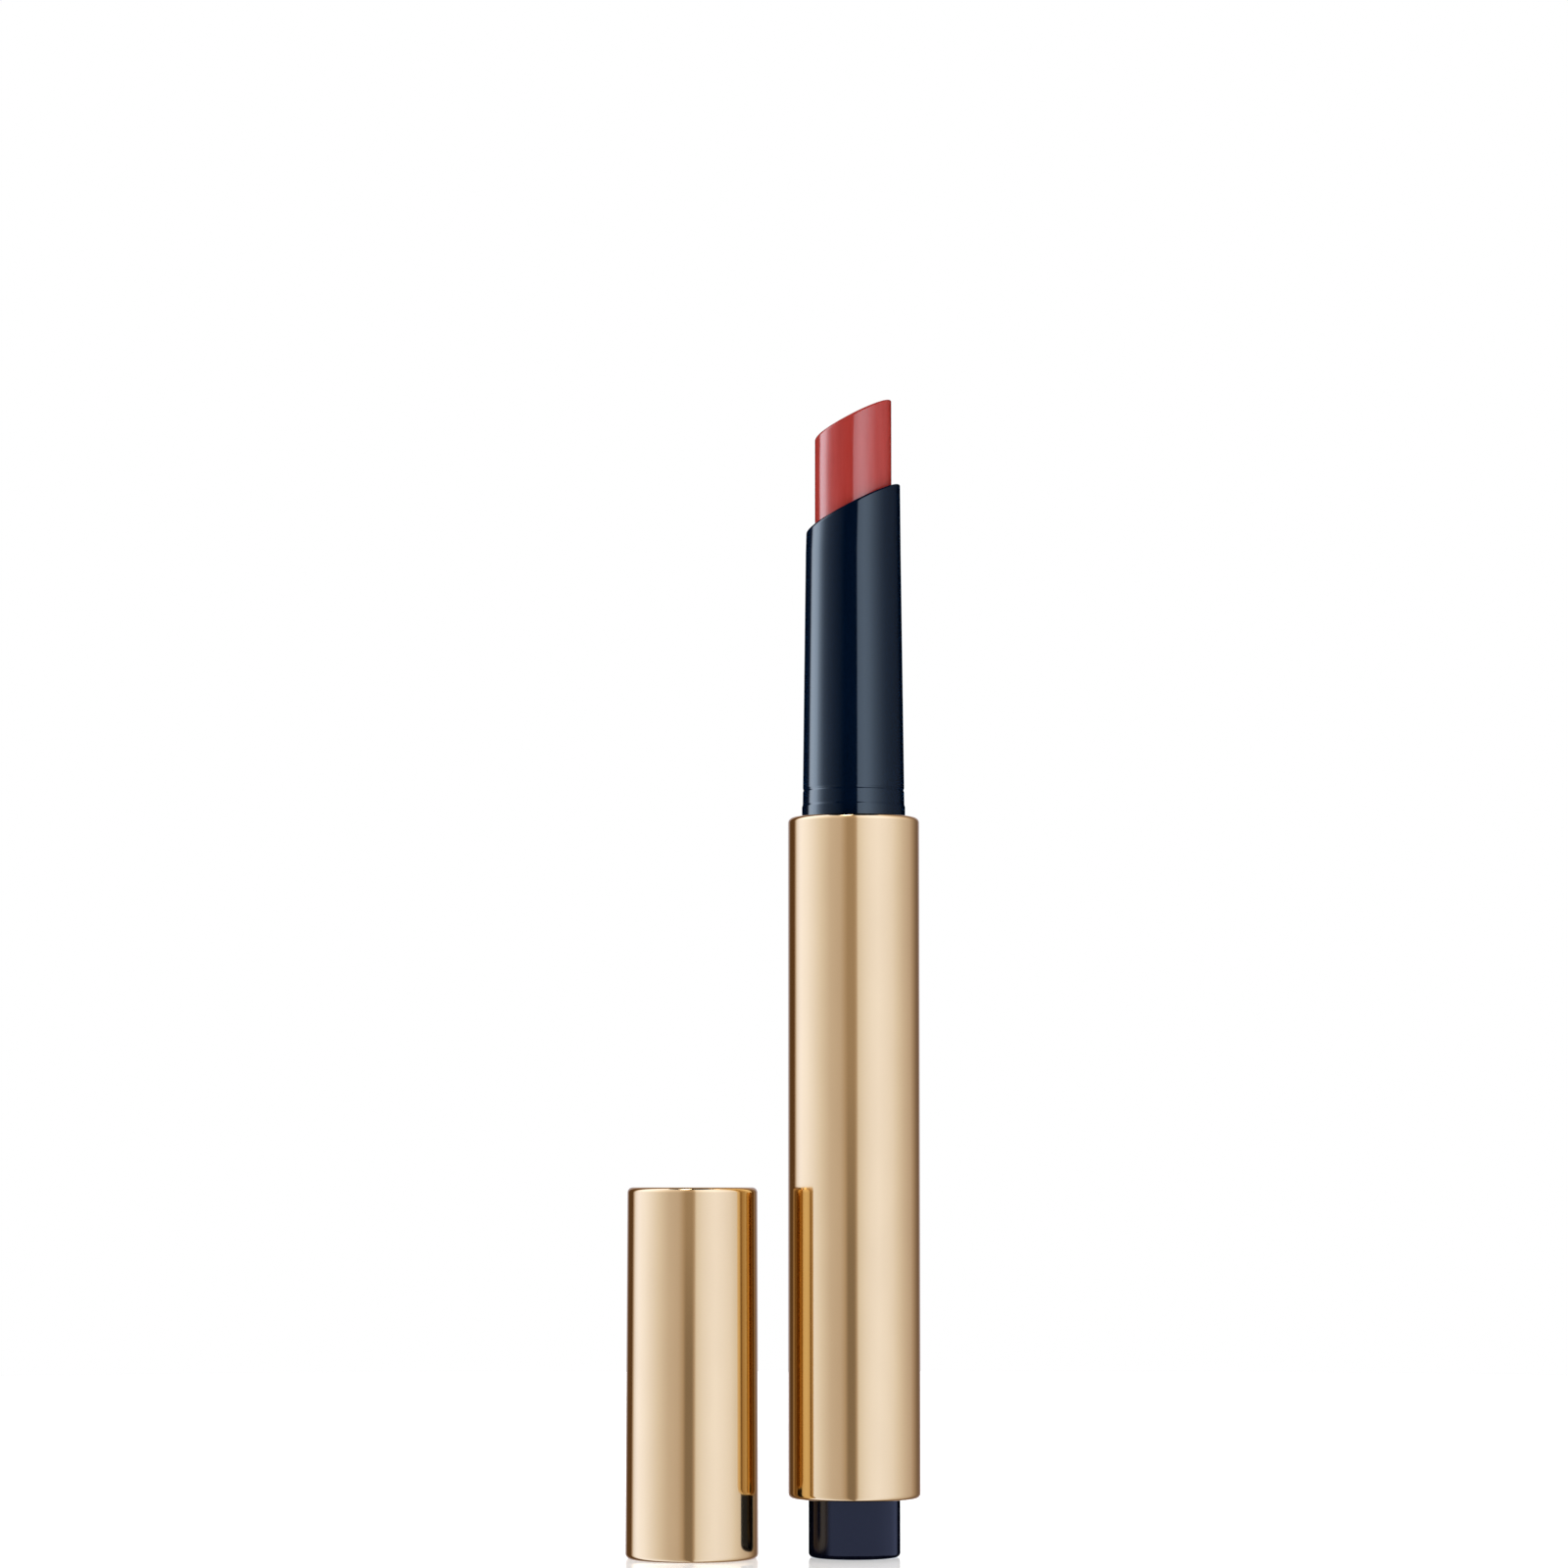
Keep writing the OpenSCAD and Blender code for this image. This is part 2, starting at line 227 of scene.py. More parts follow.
# %% [markdown]
# **Lipstick wax.** Oils, waxes and pigment, poured hot into a polished metal mould and chilled.
# It has a glassy skin over a soft body, so light sinks in a little and comes back red. Pouring
# leaves faint streaks along the stick.

# %% Lipstick wax
wax_finish, tree, shader = new_finish("lipstick_wax", IOR=1.6)
streaks = grain(tree, across=0.5 * MM, along=8 * MM, detail=3.0)
connect(tree, shader, {
    "Base Color": add(tree, "ShaderNodeValToRGB", {"Fac": streaks}, [(0.3, "#AD3830"), (0.7, "#B43E36")]),
    "Roughness": add(tree, "ShaderNodeValToRGB", {"Fac": streaks}, [(0.3, 0.09), (0.7, 0.13)]),
    "Normal": add(tree, "ShaderNodeBump", {"Height": streaks, "Distance": 0.003 * MM, "Strength": 0.2}),
    "Subsurface Weight": 0.15,
    "Subsurface Radius": (1.0 * MM, 0.3 * MM, 0.2 * MM),
    "Subsurface Scale": 1.0,
})
print("finish:", wax_finish.name)

# %% [markdown]
# **The working parts.** Inside are natural ABS, which is an ivory plastic with a slight satin,
# two acetals dyed orange and red so that an assembler can't swap them, and bright spring steel.
# They differ only in colour, gloss and grain, so one function makes them all.

# %% Inner plastics and steel
def inner_finish(name, dark, light, smooth, rough, grain_size, **surface):
    """A finish whose colour and roughness vary together over a fine grain."""
    material, tree, shader = new_finish(name, **surface)
    marks = grain(tree, grain_size, grain_size, 3.0)
    connect(tree, shader, {
        "Base Color": add(tree, "ShaderNodeValToRGB", {"Fac": marks}, [(0.3, dark), (0.7, light)]),
        "Roughness": add(tree, "ShaderNodeValToRGB", {"Fac": marks}, [(0.3, smooth), (0.7, rough)]),
        "Normal": add(tree, "ShaderNodeBump", {"Height": marks, "Distance": 0.01 * MM, "Strength": 0.3}),
    })
    return material


natural_abs = inner_finish("natural_abs", "#DEDACC", "#E8E4D8", 0.35, 0.45, 0.4 * MM, IOR=1.53)
orange_acetal = inner_finish("orange_acetal", "#D9761E", "#E58429", 0.28, 0.36, 0.4 * MM, IOR=1.48)
red_acetal = inner_finish("red_acetal", "#C3382A", "#CF4434", 0.28, 0.36, 0.4 * MM, IOR=1.48)
spring_steel = inner_finish("spring_steel", "#B9BBBE", "#C8CACD", 0.18, 0.28, 0.2 * MM, Metallic=1.0)

SLOT_FINISH = {
    "anodised_gold": gold_finish, "navy_plastic": gloss_finish, "natural_plastic": natural_abs,
    "orange_acetal": orange_acetal, "red_acetal": red_acetal, "spring_steel": spring_steel,
    "lip_colour": wax_finish,
}
print("inner finishes:", natural_abs.name, orange_acetal.name, red_acetal.name, spring_steel.name)

# %% [markdown]
# Apart from the spring, the working parts need no new shapes: the CAD model's own are exact. Every
# node keeps its mesh and takes the finish of its material slot. The record lists which node uses
# which slot, so no list has to be kept here.

# %% Dress the CAD nodes
node_slot = {part["node"]: part["material_slot"] for part in frame["record"]["subparts"]}
for name, node_object in frame["nodes"].items():
    node_object.data.materials.clear()
    node_object.data.materials.append(SLOT_FINISH[node_slot[name]])
print("dressed", len(frame["nodes"]), "CAD nodes")

# %% [markdown]
# Everything outside is a tube or a cup. Cylinders with bevelled edges would be quick, but each
# wall, lip and groove would then be a separate cut. Turning is simpler and closer to how such
# things are drawn: one function spins a section, as a lathe would. A section is a closed loop of
# (radius, height) points. The mouth of the nozzle and the face of the lipstick are cut on a
# slant, so a point also says how much of the slant it follows, from 0 to 1. It is then raised on
# the +X side and lowered on the other, and a rounded edge stays rounded all the way round, which
# a plain slanted cut would not leave.

# %% Rounded edges of a section
def arc(radius, height, size, start, end, steps=6, follow=0.0):
    """Points of a rounded edge: its centre, its radius, and its two angles in degrees."""
    turns = [math.radians(start + (end - start) * i / steps) for i in range(steps + 1)]
    return [(radius + size * math.cos(a), height + size * math.sin(a), follow) for a in turns]


print("an edge of 6 steps has", len(arc(0, 0, MM, 0, 90)), "points")

# %% From mesh to piece
SMOOTH_TO = math.radians(35)


def made_piece(name, work, finish, body, node):
    """Makes a piece from the mesh in work. It rides on a body and stands for a CAD node."""
    bmesh.ops.recalc_face_normals(work, faces=work.faces)
    mesh = bpy.data.meshes.new(name)
    work.to_mesh(mesh)
    work.free()
    mesh.materials.append(finish)
    mesh.set_sharp_from_angle(angle=SMOOTH_TO)
    piece = bpy.data.objects.new(name, mesh)
    bpy.context.scene.collection.objects.link(piece)
    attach(piece, body)
    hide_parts(node)
    print(name, "has", len(mesh.polygons), "faces")
    return piece


print("edges sharper than", round(math.degrees(SMOOTH_TO)), "degrees stay crisp")

# %% The lathe
SIDES = 192
SLANT = math.tan(math.radians(27))


def turned(name, section, axis, finish, body, node):
    """Turns a section round the upright axis at (x, y). Real corners stay crisp."""
    work = bmesh.new()
    rings = []
    for radius, height, follow in section:
        if radius == 0:
            rings.append([work.verts.new((*axis, height))])
            continue
        ring = []
        for i in range(SIDES):
            x = radius * math.cos(2 * math.pi * i / SIDES)
            y = radius * math.sin(2 * math.pi * i / SIDES)
            ring.append(work.verts.new((axis[0] + x, axis[1] + y, height + follow * x * SLANT)))
        rings.append(ring)
    for lower, upper in zip(rings, rings[1:] + rings[:1]):
        if len(lower) == 1 and len(upper) == 1:
            continue
        for i in range(SIDES):
            j = (i + 1) % SIDES
            corners = []
            for ring, k in ((lower, i), (lower, j), (upper, j), (upper, i)):
                corner = ring[k % len(ring)]
                if corner not in corners:
                    corners.append(corner)
            work.faces.new(corners).smooth = True
    return made_piece(name, work, finish, body, node)


print("tubes have", SIDES, "sides")

# %% [markdown]
# **Barrel tube.** A drawn tube, 0.4 mm thick, with its foot and its shoulder rolled over a small
# radius. The shoulder turns in to a thin lip that holds the nozzle's collar. A single sheet of
# faces would look right from outside, but the wall's thickness shows at the foot and at the lip,
# so the section goes round both sides of it.

# %% Barrel tube
PEN_AXIS = (0, 0)
low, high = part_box("barrel_shell")
tube_r = high.x
wall = 0.4 * MM
roll = 0.55 * MM
lip = 0.5 * MM
fine_edge = 0.1 * MM
collar_hole_r = 5.58 * MM
foot_turn = math.degrees(math.acos((roll - wall) / roll))
foot_lift = roll * math.sin(math.radians(foot_turn))
section = arc(tube_r - roll, low.z + foot_lift, roll, -foot_turn, 0, 8)
section += arc(tube_r - roll, high.z - roll, roll, 0, 90, 10)
section += arc(collar_hole_r + fine_edge, high.z - fine_edge, fine_edge, 90, 180, 3)
section += [(collar_hole_r, high.z - lip, 0), (tube_r - wall, high.z - lip, 0)]
turned("barrel_tube", section, PEN_AXIS, gold_finish, "barrel", "barrel_shell")

# %% [markdown]
# **Cap.** The cap is the same kind of cup, drawn with a closed end. It narrows by a tenth of a
# millimetre on each side towards that end, which lets it come off the punch that draws it. Scaling
# a straight can would squeeze its rolled edge too, so the two radii are given in the section.

# %% Cap can
low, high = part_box("cap_shell")
CAP_AXIS = ((low.x + high.x) / 2, (low.y + high.y) / 2)
can_r = (high.x - low.x) / 2
top_r = 6.88 * MM
section = [(0, high.z, 0)]
section += arc(top_r - roll, high.z - roll, roll, 90, 0, 10)
section += arc(can_r - roll, low.z + foot_lift, roll, 0, -foot_turn, 8)
section += [(top_r - wall, high.z - lip, 0), (0, high.z - lip, 0)]
turned("cap_can", section, CAP_AXIS, gold_finish, "cap", "cap_shell")

# %% [markdown]
# **Cap lining.** A moulded sleeve inside the cap. A low ring near its mouth snaps over the
# nozzle's groove, and its foot is flared so that the nozzle finds its way in. The real ring may
# be split into a few snaps; a whole one is simpler to turn, and hardly shows inside the cap.

# %% Cap lining
low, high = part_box("cap_liner")
lining_r = high.x - CAP_AXIS[0]
lining_gap = 0.05 * MM
bore_r = 5.7 * MM
flare = 0.3 * MM
flare_high = 0.4 * MM
snap_r = 5.46 * MM
snap_z = 2.95 * MM
snap_flat = 0.08 * MM
snap_slope = 0.45 * MM
end_t = 1.1 * MM
end_round = 0.5 * MM
end_z = high.z - end_t
section = [(bore_r + flare, low.z, 0), (lining_r, low.z, 0)]
section += [(top_r - wall - lining_gap, high.z, 0), (0, high.z, 0), (0, end_z, 0)]
section += arc(bore_r - end_round, end_z - end_round, end_round, 90, 0, 5)
section += [(bore_r, snap_z + snap_slope, 0), (snap_r, snap_z + snap_flat, 0)]
section += [(snap_r, snap_z - snap_flat, 0), (bore_r, snap_z - snap_slope, 0)]
section += [(bore_r, low.z + flare_high, 0)]
turned("cap_lining", section, CAP_AXIS, natural_abs, "cap", "cap_liner")

# %% [markdown]
# **Nozzle.** A long moulded sleeve that narrows a little towards its slanted mouth. At its foot
# are a collar that eases into the sleeve, and the fine groove that the cap's ring snaps into. The
# mouth's rim is rounded, because it touches the lips. Collar and groove are less than a tenth of
# a millimetre deep. A bump could draw them, but then they would be missing from the outline and
# from the mesh, so they are in the section, as smooth cosine steps that catch a fine light line.

# %% Nozzle sleeve
low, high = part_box("nozzle")
barrel_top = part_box("barrel_shell")[1].z
root_r = high.x
mouth_r = 5.06 * MM
foot_r = 5.45 * MM
collar_r = 5.53 * MM
nozzle_bore_r = 4.6 * MM
lip_z = barrel_top - 0.55 * MM
bead_z = barrel_top + 1.45 * MM
bead_high = 0.36 * MM
bead_steps = 6
groove_z = barrel_top + 2.95 * MM
groove_high = 0.45 * MM
groove_deep = 0.065 * MM
groove_steps = 8
slant_fade = 5 * MM
rim = 0.33 * MM
mouth_z = high.z - mouth_r * SLANT
taper = (foot_r - mouth_r) / (mouth_z - bead_z)
groove_r = foot_r - taper * (groove_z - bead_z)
section = [(nozzle_bore_r, low.z, 0), (root_r, low.z, 0), (root_r, lip_z, 0), (collar_r, lip_z, 0)]
for step in range(bead_steps + 1):
    share = step / bead_steps
    lean = (1 + math.cos(math.pi * share)) / 2
    section.append((foot_r + lean * (collar_r - foot_r), bead_z + (share - 1) * bead_high, 0))
for step in range(groove_steps + 1):
    share = step / groove_steps
    dip = groove_deep * math.sin(math.pi * share) ** 2
    section.append((groove_r - dip, groove_z + (share - 0.5) * groove_high, 0))
section += [(mouth_r + taper * slant_fade, mouth_z - slant_fade, 0), (mouth_r, mouth_z - rim, 1)]
section += arc(mouth_r - rim, mouth_z - rim, rim, 0, 90, 8, 1)[1:]
section += arc(nozzle_bore_r + fine_edge, mouth_z - fine_edge, fine_edge, 90, 180, 4, 1)
nozzle = turned("nozzle_sleeve", section, PEN_AXIS, gloss_finish, "barrel", "nozzle")

# %% [markdown]
# **Lipstick.** The stick is poured in a round mould with a slanted end, so that it comes out
# ready cut. Its edge is softened by the mould. It is turned like the nozzle and on the same slant,
# so that the two faces stay parallel as the stick rises.

# %% Lipstick
low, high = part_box("bullet")
stick_r = high.x
face_z = high.z - stick_r * SLANT
foot_edge = 0.2 * MM
soft = 0.35 * MM
slant_fade = 4 * MM
section = [(0, low.z, 0), (stick_r - foot_edge, low.z, 0), (stick_r, low.z + foot_edge, 0)]
section += [(stick_r, face_z - slant_fade, 1)]
section += arc(stick_r - soft, face_z - soft, soft, 0, 90, 8, 1)
section += [(stick_r * 0.5, face_z, 1), (0, face_z, 1)]
stick = turned("lipstick", section, PEN_AXIS, wax_finish, "carrier", "bullet")

# %% [markdown]
# **Push button.** A deep satin cup that slides in the barrel's foot. Its bottom edge is rounded
# for the finger, and here it is what the pen stands on. It is a real cup and not a plug, because
# the spring and the plunger stand inside it.

# %% Push button
low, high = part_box("push_button")
button_r = high.x
button_bore_r = button_r - 0.9 * MM
button_floor_z = low.z + 1.4 * MM
button_round = 0.5 * MM
section = [(0, low.z, 0)]
section += arc(button_r - button_round, low.z + button_round, button_round, -90, 0, 10)
section += [(button_r, high.z, 0), (button_bore_r, high.z, 0)]
section += [(button_bore_r, button_floor_z, 0), (0, button_floor_z, 0)]
button = turned("button_cup", section, PEN_AXIS, satin_finish, "button", "push_button")

# %% [markdown]
# ** Return spring.** A compression spring, coiled from round wire, with its end turns closed so
# that it stands square. A curve with a round bevel would also give a coil. Here rings of points
# are set along it instead, so that the end turns can lie flat and the wire's ends are closed. The
# spring is held at its top by the bearing plate and rides with the barrel. In the real pen,
# pressing the button shortens it by the button's stroke; this coil keeps one length.

# %% The coil's rise
low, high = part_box("return_spring")
WIRE_R = 0.3 * MM
TURNS = 5
WIRE_SIDES = 14
PER_TURN = 48
coil_r = high.x - WIRE_R
foot_z = low.z + WIRE_R
rise = high.z - low.z - 2 * WIRE_R


def wire_height(turn):
    """Height of the wire's middle: the end turns lie flat, and the others share the rise."""
    flat = 2 * WIRE_R
    if turn < 1:
        return flat * turn
    if turn > TURNS - 1:
        return rise - flat * (TURNS - turn)
    return flat + (rise - 2 * flat) * (turn - 1) / (TURNS - 2)


print("turns start at, mm:", [round(wire_height(turn) / MM, 2) for turn in range(TURNS + 1)])

# %% Return spring
work = bmesh.new()
wire = []
for step in range(TURNS * PER_TURN + 1):
    turn = step / PER_TURN
    a = 2 * math.pi * turn
    ring = []
    for k in range(WIRE_SIDES):
        b = 2 * math.pi * k / WIRE_SIDES
        r = coil_r + WIRE_R * math.cos(b)
        z = foot_z + wire_height(turn) + WIRE_R * math.sin(b)
        ring.append(work.verts.new((r * math.cos(a), r * math.sin(a), z)))
    wire.append(ring)
for ring, after in zip(wire, wire[1:]):
    for k in range(WIRE_SIDES):
        j = (k + 1) % WIRE_SIDES
        work.faces.new((ring[k], ring[j], after[j], after[k])).smooth = True
work.faces.new(wire[0])
work.faces.new(wire[-1])
spring = made_piece("coil_spring", work, spring_steel, "barrel", "return_spring")
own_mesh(spring)

# %% [markdown]
# **The floor.** A round sheet of glazed white card. It glows a little, so that it stays white to
# its edge, and its glaze mirrors the feet faintly. A soft lamp high above leaves a light shadow
# round them. The pieces don't mirror the card: their long bands of light run down to the foot, as
# on a raised glass shelf. A plane would do for the card, but the light tent needs the same kind of
# sheet bent round, so one function makes both.

# %% Sheets and circles
def mesh_sheet(name, rows, finish):
    """A sheet through rows of points, with UVs that run 0 to 1 along and across."""
    mesh = bpy.data.meshes.new(name)
    work = bmesh.new()
    uv = work.loops.layers.uv.new("UVMap")
    points = [[work.verts.new(p) for p in row] for row in rows]
    for i in range(len(rows) - 1):
        for j in range(len(rows[0]) - 1):
            spots = ((i, j), (i + 1, j), (i + 1, j + 1), (i, j + 1))
            face = work.faces.new([points[a][b] for a, b in spots])
            for loop, (a, b) in zip(face.loops, spots):
                loop[uv].uv = (a / (len(rows) - 1), b / (len(rows[0]) - 1))
    work.to_mesh(mesh)
    work.free()
    mesh.materials.append(finish)
    sheet = bpy.data.objects.new(name, mesh)
    bpy.context.scene.collection.objects.link(sheet)
    sheet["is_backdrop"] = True
    return sheet


def on_circle(radius, degrees, height):
    """A point on a circle round the pen. Degrees count from the camera's side, to the right."""
    turn = math.radians(degrees)
    return (radius * math.sin(turn), -radius * math.cos(turn), height)


print("the camera's side is at", on_circle(1, 0, 0))

# %% The card
FLOOR_R = 0.5
CENTRE_R = 0.001
SELF_GLOW = 0.66
GLAZE_SHARE = 0.5
card, tree, shader = new_finish("glazed_card", Roughness=0.6, Emission_Strength=SELF_GLOW,
                                Emission_Color=(1, 1, 1, 1))
fibre = grain(tree, across=8 * MM, along=8 * MM, detail=3.0)
paper = add(tree, "ShaderNodeValToRGB", {"Fac": fibre}, [(0.3, "#F4F4F4"), (0.7, "#F7F7F7")])
connect(tree, shader, {"Base Color": paper})
glaze = add(tree, "ShaderNodeBsdfGlossy", {"Color": (1, 1, 1, 1), "Roughness": 0.05})
glazed = add(tree, "ShaderNodeMixShader", {"Fac": GLAZE_SHARE, 1: shader, 2: glaze})
connect(tree, tree.nodes["Material Output"], {"Surface": glazed})
floor_rows = [[on_circle(r, a, 0) for r in (CENTRE_R, FLOOR_R)] for a in range(0, 361, 5)]
floor = mesh_sheet("floor", floor_rows, card)
floor.visible_glossy = False
print("floor is", 2 * FLOOR_R, "m across")

# %% The soft lamp
LAMP_HIGH = 1.2
lamp_data = bpy.data.lights.new("soft_lamp", "AREA")
lamp_data.shape = "DISK"
lamp_data.size = 1.2
lamp_data.energy = 8
lamp = bpy.data.objects.new("soft_lamp", lamp_data)
lamp.location = (0, 0, LAMP_HIGH)
lamp.visible_glossy = False
bpy.context.scene.collection.objects.link(lamp)
print("lamp gives", lamp_data.energy, "W")

# %% [markdown]
# **A light tent for the metal.** Metal has no look of its own: it mirrors what stands round it.
# So the pieces stand in a tall tent of lit cloth, with a floor and a top, and the cloth's
# brightness round the tent is what the eye reads as the metal's shading. GLOW gives it, as a share
# of the full glow at some angles. One dim panel, just left of the camera, makes the deeper band
# down the gold, and it is dimmer still low down. The wall is a little brighter high up. The top is
# dark, which makes the fine dark line on the rounded edges, and one bright panel in it makes the
# glints there. TONE gives the cloth's colour at each share of the glow: its bright parts are cool,
# which keeps the gold's highlights pale, and its dim parts are warm, which deepens the shadows.
# Lamps would leave small hot spots in the metal, and a picture of a studio can't be tuned. A lit
# sheet gives long soft bands, and each can be set by its angle. Light linking says which pieces
# the tent lights.

# %% How the cloth glows
TENT_R = 1.0
TENT_LOW = -1.5
TENT_HIGH = 2.4
VENT_R = 0.05
FULL_GLOW = 3.11
GLOW = [
    (-180, 0.36), (-156, 0.34), (-150, 0.09), (-128, 0.09), (-118, 0.79), (-111, 0.94), (-104, 0.99),
    (-89, 0.94), (-75, 0.85), (-57, 0.71), (-40, 0.57), (-22, 0.52), (-16, 0.45), (-9, 0.35),
    (2, 0.35), (5.5, 0.43), (9, 0.71), (20, 0.81), (32, 0.87), (45, 0.9), (60, 0.86), (73, 0.8),
    (86, 0.7), (101, 0.58), (118, 0.49), (142, 0.2), (155, 0.14), (162, 0.36), (180, 0.36),
]
TONE = [
    (0.00, "#000000"), (0.09, "#38291C"), (0.29, "#61595A"), (0.43, "#76717D"), (0.57, "#8789A5"),
    (0.71, "#959CC2"), (0.86, "#A2AEE4"), (1.00, "#AEBEFF"),
]
DIM_PANEL = [(-14, 0), (-9, 1), (2, 1), (5, 0)]
DIMMER_BY = 0.34
DIMMER_BELOW = [(0, 1), (0.1, 0)]
GLINT_PANEL = [(-46, 0), (-43, 1), (-9, 1), (-7, 0)]
GLINT_GLOW = 12.0
HIGH_GLOW = 1.3
TOP_GLOW = 0.05
print("the cloth is brightest at", max(GLOW, key=lambda stop: stop[1])[0], "degrees")

# %% Places on the tent
def only_for(source, name, pieces):
    """Lets a light or a lit sheet shine on these pieces only."""
    lit = bpy.data.collections.new(name)
    for piece in pieces:
        lit.objects.link(piece)
    source.light_linking.receiver_collection = lit
    print(name, "has", len(pieces), "pieces")


def round_the_tent(stops):
    """Stops given in degrees from the camera's side, as shares of the way along the cloth."""
    return [((degrees + 180) / 360, value) for degrees, value in stops]


def at_height(z):
    """Where a height lies up the cloth, from 0 to 1. The wall is the middle third of it."""
    return (1 + (z - TENT_LOW) / (TENT_HIGH - TENT_LOW)) / 3


print("the floor is", round(at_height(0), 3), "of the way up the cloth")

# %% Tent cloth
cloth = bpy.data.materials.new("tent_cloth")
cloth.use_nodes = True
tree = cloth.node_tree
tree.nodes.clear()
place = add(tree, "ShaderNodeTexCoord").outputs["UV"]
split = add(tree, "ShaderNodeSeparateXYZ", {"Vector": place})
turn = split.outputs["X"]
rise = split.outputs["Y"]
top = at_height(TENT_HIGH)
hem = top + 0.005
higher = [(at_height(0.2), 1.0), (at_height(0.45), HIGH_GLOW), (top, HIGH_GLOW), (hem, TOP_GLOW)]
below = [(at_height(z), value) for z, value in DIMMER_BELOW]
share = add(tree, "ShaderNodeValToRGB", {"Fac": turn}, round_the_tent(GLOW))
tone = add(tree, "ShaderNodeValToRGB", {"Fac": share}, TONE)
upper = add(tree, "ShaderNodeValToRGB", {"Fac": rise}, higher)
in_panel = add(tree, "ShaderNodeValToRGB", {"Fac": turn}, round_the_tent(DIM_PANEL))
low_down = add(tree, "ShaderNodeValToRGB", {"Fac": rise}, below)
in_glint = add(tree, "ShaderNodeValToRGB", {"Fac": turn}, round_the_tent(GLINT_PANEL))
in_top = add(tree, "ShaderNodeValToRGB", {"Fac": rise}, [(top, 0), (hem, 1)])
dimmed = add(tree, "ShaderNodeMath", {0: in_panel, 1: low_down}, operation="MULTIPLY")
dimmer = add(tree, "ShaderNodeMath", {0: dimmed, 1: -DIMMER_BY, 2: 1.0}, operation="MULTIPLY_ADD")
wall_level = add(tree, "ShaderNodeMath", {0: upper, 1: dimmer}, operation="MULTIPLY")
glint = add(tree, "ShaderNodeMath", {0: in_glint, 1: in_top}, operation="MULTIPLY")
level = add(tree, "ShaderNodeMath", {0: glint, 1: GLINT_GLOW, 2: wall_level}, operation="MULTIPLY_ADD")
power = add(tree, "ShaderNodeMath", {0: level, 1: FULL_GLOW}, operation="MULTIPLY")
glow = add(tree, "ShaderNodeEmission", {"Color": tone, "Strength": power})
add(tree, "ShaderNodeOutputMaterial", {"Surface": glow})
print("cloth has", len(tree.nodes), "nodes")

# %% Put up the tent
outline = ((VENT_R, TENT_LOW), (TENT_R, TENT_LOW), (TENT_R, TENT_HIGH), (VENT_R, TENT_HIGH))
tent_rows = [[on_circle(r, a, z) for r, z in outline] for a in range(-180, 181, 3)]
tent = mesh_sheet("metal_tent", tent_rows, cloth)
tent.visible_camera = False
plastics = [nozzle, stick, button]
only_for(tent, "lit_by_tent", [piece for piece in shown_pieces() if piece not in plastics])

# %% [markdown]
# **Strip lights for the plastic.** Glossy plastic would look washed out in that tent, so the
# nozzle and the lipstick are lit by soft strips only: a bright one far left that fades towards the
# camera, and one at the right with a sharp near edge. Between the two they mirror darkness, which
# black flags give on set. A small strip behind lights their backs. The satin button gets an even
# bluish light from the front and both sides, and four plain strips light the card. They could be
# lit sheets like the tent, but a sheet blocks the light of what is behind it even where it is
# linked to other pieces, and an area light doesn't. A real strip fades across its width, so each
# light has a ramp. Its stops are angles from the camera's side, with shares of its strength.

# %% Colours and stops of the strips
STRIP_R = 0.55
STRIP_HIGH = 0.55
STRIP_LOW = -0.5
BUTTON_LOW = -0.2
COOL = (1.0, 1.1, 1.22)
SLATE = (0.5, 0.59, 1.0)
WHITE = (1.0, 1.0, 1.0)
LEFT = [
    (-136, 0), (-122, 0.01), (-119, 0.3), (-114, 0.64), (-104, 0.78), (-93, 0.74), (-86, 0.48),
    (-77, 0.24), (-69, 0.13), (-58, 0.075), (-46, 0.044), (-38, 0.028), (-28, 0.012), (-20, 0),
]
RIGHT = [(20, 0.39), (28, 0.41), (38, 0.36), (48, 0.26), (60, 0.17), (72, 0.1), (82, 0.065)]
FAR = [(82, 0.065), (100, 0.036), (125, 0.014), (140, 0)]
BACK = [(168, 0), (173, 0.24), (180, 0.28), (187, 0.24), (192, 0)]
print("the left strip is brightest at", max(LEFT, key=lambda stop: stop[1])[0], "degrees")

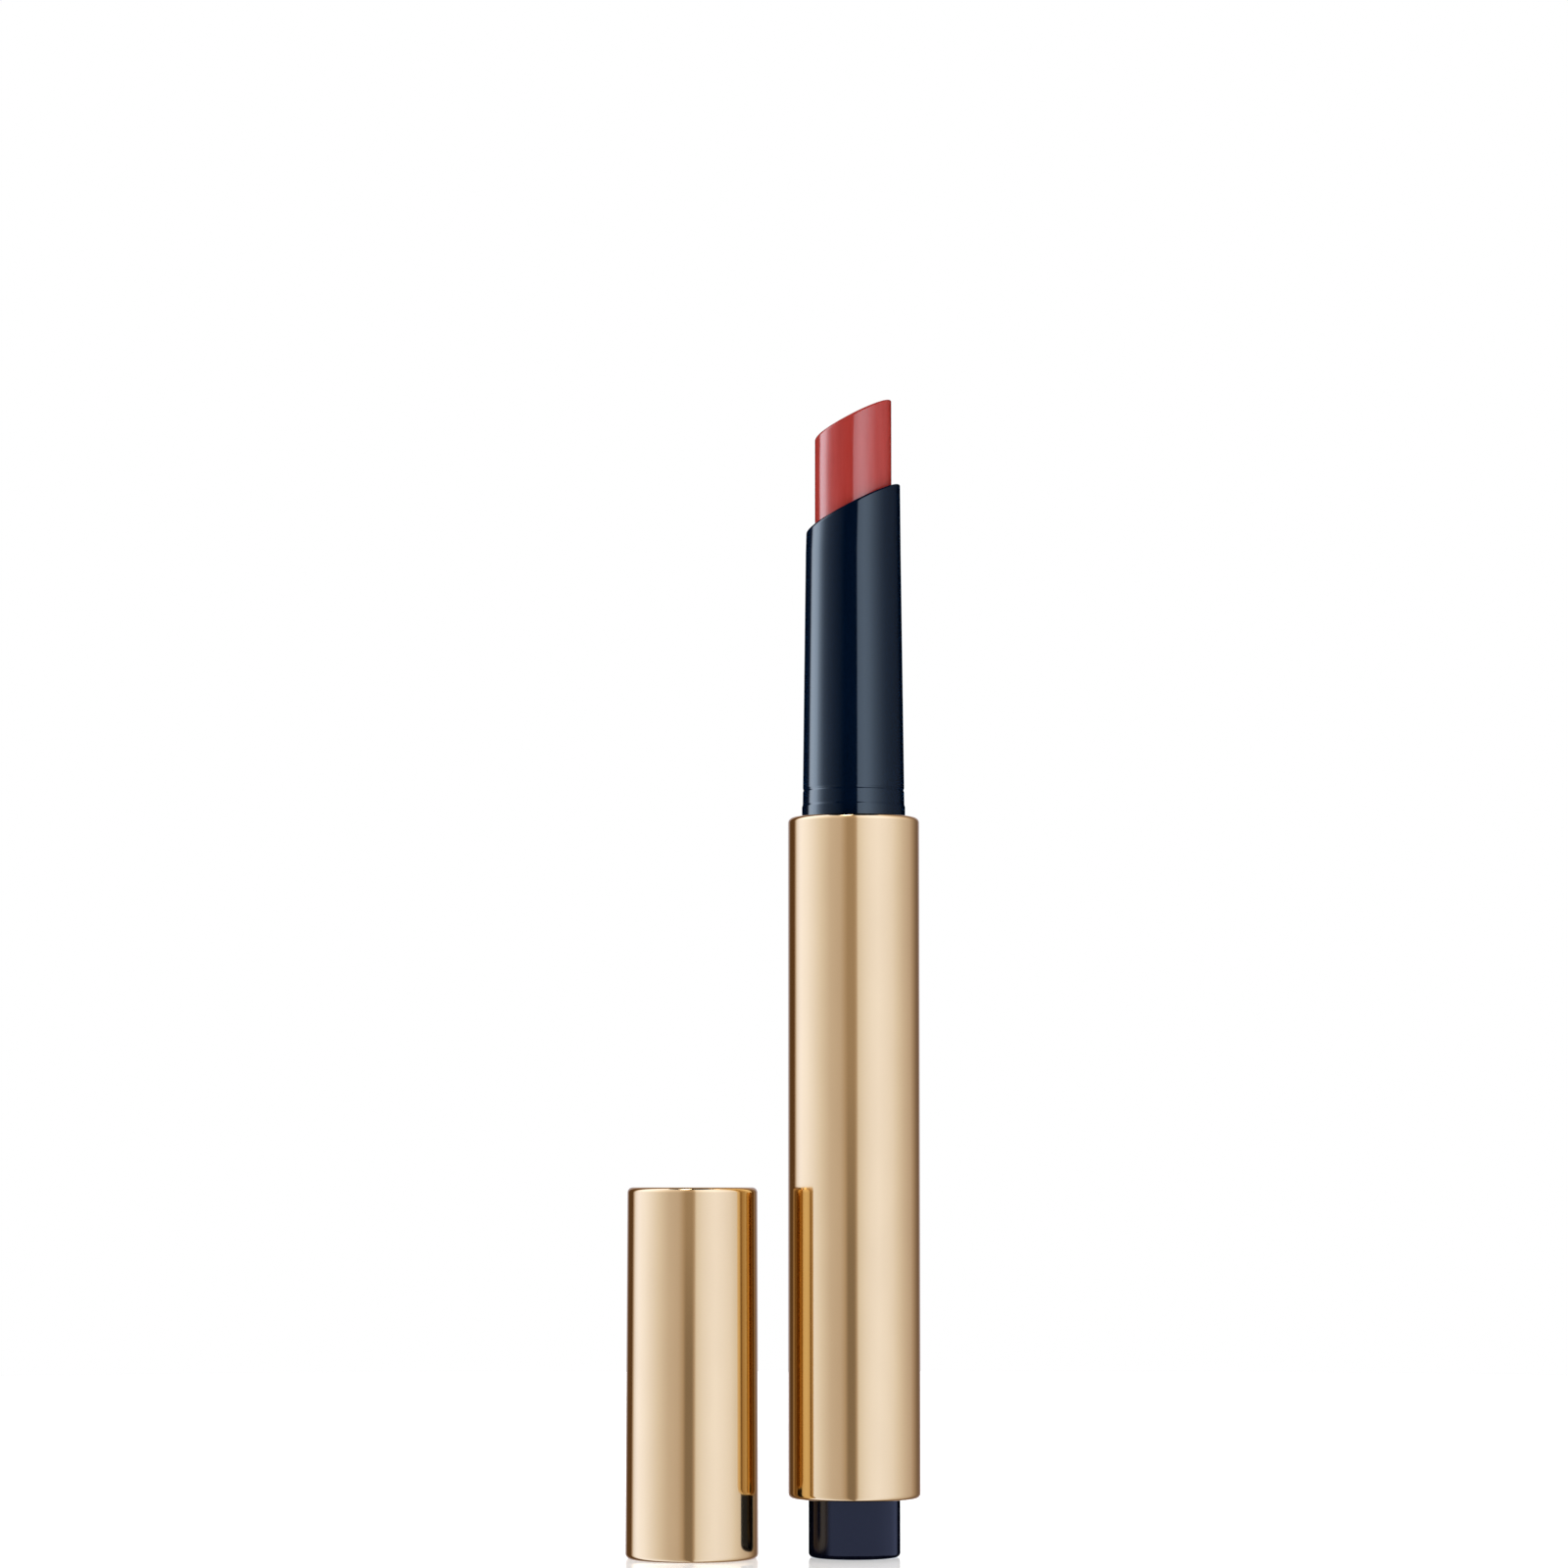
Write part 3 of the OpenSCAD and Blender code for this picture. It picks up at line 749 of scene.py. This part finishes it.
# %% One strip
def strip(name, stops, colour, strength, low=STRIP_LOW):
    """A tall flat strip light. Stops are (degrees from the camera's side, share of its strength)."""
    first, last = stops[0][0], stops[-1][0]
    middle = (first + last) / 2
    reach = STRIP_R * math.tan(math.radians((last - first) / 2))
    light = bpy.data.lights.new(name, "AREA")
    light.shape = "RECTANGLE"
    light.size = 2 * reach
    light.size_y = STRIP_HIGH - low
    light.energy = math.pi * light.size * light.size_y * strength
    light.color = colour
    light.use_nodes = True
    tree = light.node_tree
    tree.nodes.clear()
    place = add(tree, "ShaderNodeNewGeometry").outputs["Parametric"]
    along = add(tree, "ShaderNodeSeparateXYZ", {"Vector": place}).outputs["X"]
    spots = []
    for angle, share in stops:
        across = STRIP_R * math.tan(math.radians(angle - middle))
        spots.append((0.5 + across / (2 * reach), share))
    fade = add(tree, "ShaderNodeValToRGB", {"Fac": along}, spots)
    glow = add(tree, "ShaderNodeEmission", {"Strength": fade})
    add(tree, "ShaderNodeOutputLight", {"Surface": glow})
    lamp = bpy.data.objects.new(name, light)
    lamp.location = on_circle(STRIP_R, middle, (STRIP_HIGH + low) / 2)
    lamp.rotation_euler = (math.pi / 2, 0, math.radians(middle))
    lamp.visible_camera = False
    bpy.context.scene.collection.objects.link(lamp)
    return lamp


print("strips stand", STRIP_R, "m from the pen")

# %% All the strips
for name, stops, pieces, colour, strength, *low in (
        ("left_strip", LEFT, [nozzle, stick], COOL, 5.0),
        ("nozzle_strip", [(8.5, 0), (11.5, 0.34)] + RIGHT, [nozzle], COOL, 4.8),
        ("nozzle_far_strip", FAR, [nozzle], COOL, 4.8),
        ("lipstick_strip", [(0.3, 0), (1.3, 0.26)] + RIGHT, [stick], COOL, 6.0),
        ("lipstick_far_strip", FAR, [stick], COOL, 8.0),
        ("back_strip", BACK, [nozzle, stick, button], COOL, 5.0),
        ("button_left_strip", [(-75, 0), (-60, 1), (5, 1)], [button], SLATE, 1.06, BUTTON_LOW),
        ("button_right_strip", [(5, 1), (85, 1)], [button], SLATE, 1.06, BUTTON_LOW),
        ("button_far_strip", [(85, 1), (130, 0.7), (140, 0)], [button], SLATE, 1.06, BUTTON_LOW)):
    only_for(strip(name, stops, colour, strength, *low), "lit_by_" + name, pieces)
for side in (0, 90, 180, 270):
    name = "card_strip_%d" % side
    only_for(strip(name, [(side - 45, 1), (side + 45, 1)], WHITE, 1.3), "lit_by_" + name, [floor])

# %% [markdown]
# The room behind all this is nearly dark, so that the plastics' dark parts stay dark. But where
# the camera sees past the floor's edge there is a white wall. A real wall would light the pieces
# too, so only the camera's own rays see this one. The Standard view keeps white as white.

# %% The room
world = bpy.data.worlds.new("studio")
world.use_nodes = True
tree = world.node_tree
tree.nodes.clear()
seen = add(tree, "ShaderNodeLightPath").outputs["Is Camera Ray"]
room = add(tree, "ShaderNodeBackground", {"Color": (0.015, 0.015, 0.02, 1), "Strength": 1.0})
white_wall = add(tree, "ShaderNodeBackground", {"Color": (1, 1, 1, 1), "Strength": 1.0})
mixed = add(tree, "ShaderNodeMixShader", {"Fac": seen, 1: room, 2: white_wall})
add(tree, "ShaderNodeOutputWorld", {"Surface": mixed})
bpy.context.scene.world = world
bpy.context.scene.view_settings.view_transform = "Standard"
print("room:", world.name)
